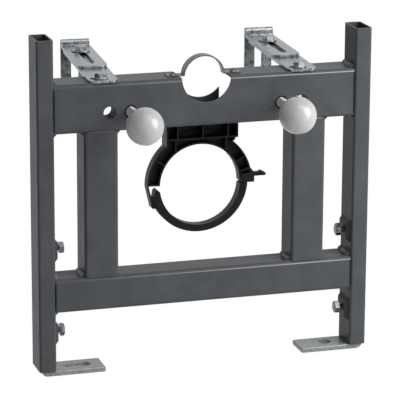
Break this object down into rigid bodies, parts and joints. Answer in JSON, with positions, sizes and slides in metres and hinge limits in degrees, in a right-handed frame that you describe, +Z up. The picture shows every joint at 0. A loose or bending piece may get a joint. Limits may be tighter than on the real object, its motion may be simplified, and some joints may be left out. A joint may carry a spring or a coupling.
{
  "type": "wall hung toilet frame",
  "caption": "Low rectangular steel frame for a wall hung toilet, with pan studs, flush pipe strap, waste pipe clamp, adjustable feet and wall brackets.",
  "frame": {"origin": "on the floor, under the middle of the whole part: midway between the uprights and between the front of the ball caps and the wall face of the brackets", "axes": "+X across to the right as seen from the front, +Y back towards the wall, +Z up"},
  "size_m": [0.4, 0.2766, 0.3963],
  "materials": {
    "frame_paint": "satin powder coat, dark grey",
    "galvanised": "zinc coated sheet, dull",
    "plated": "bright zinc plate",
    "strap_steel": "bright zinc plate",
    "screw_brass": "yellow passivated",
    "clamp_plastic": "moulded, black",
    "cap_plastic": "satin, light grey"
  },
  "bodies": {
    "frame": {"left_upright": "frame_paint", "right_upright": "frame_paint", "left_lower_boss": "frame_paint", "left_upper_boss": "frame_paint", "right_lower_boss": "frame_paint", "right_upper_boss": "frame_paint", "left_post": "frame_paint", "right_post": "frame_paint", "upper_beam": "frame_paint", "lower_beam": "frame_paint", "saddle_plate": "frame_paint", "left_stud_bush": "frame_paint", "right_stud_bush": "frame_paint", "left_free_bush": "frame_paint", "right_free_bush": "frame_paint", "left_beam_strip": "galvanised", "right_beam_strip": "galvanised", "left_lower_foot_bolt": "plated", "left_upper_foot_bolt": "plated", "right_lower_foot_bolt": "plated", "right_upper_foot_bolt": "plated", "left_front_bolt": "plated", "right_front_bolt": "plated", "left_rear_bolt": "plated", "right_rear_bolt": "plated", "left_stud": "plated", "right_stud": "plated", "left_stud_nut": "plated", "right_stud_nut": "plated", "left_clamp_screw": "plated", "right_clamp_screw": "plated", "pipe_strap": "strap_steel", "left_strap_screw": "screw_brass", "right_strap_screw": "screw_brass", "clamp_body": "clamp_plastic", "left_ball_cap": "cap_plastic", "right_ball_cap": "cap_plastic"},
    "left_foot_body": {"left_foot": "galvanised"},
    "right_foot_body": {"right_foot": "galvanised"},
    "left_bracket_body": {"left_wall_bracket": "galvanised"},
    "right_bracket_body": {"right_wall_bracket": "galvanised"},
    "jaw_body": {"clamp_jaw": "clamp_plastic"}
  },
  "joints": [
    {"name": "left_foot_height", "type": "slide", "parent": "frame", "child": "left_foot_body", "axis": [0, 0, -1], "range_m": [0, 0.2]},
    {"name": "right_foot_height", "type": "slide", "parent": "frame", "child": "right_foot_body", "axis": [0, 0, -1], "range_m": [0, 0.2]},
    {"name": "left_bracket_depth", "type": "slide", "parent": "frame", "child": "left_bracket_body", "axis": [0.0732, 0.9973, 0], "range_m": [-0.004, 0.066]},
    {"name": "right_bracket_depth", "type": "slide", "parent": "frame", "child": "right_bracket_body", "axis": [0.0454, 0.999, 0], "range_m": [-0.004, 0.066]},
    {"name": "jaw_hinge", "type": "hinge", "parent": "frame", "child": "jaw_body", "pos_m": [-0.056, -0.02608, 0.1878], "axis": [0, 1, 0], "range_deg": [0, 30]}
  ]
}
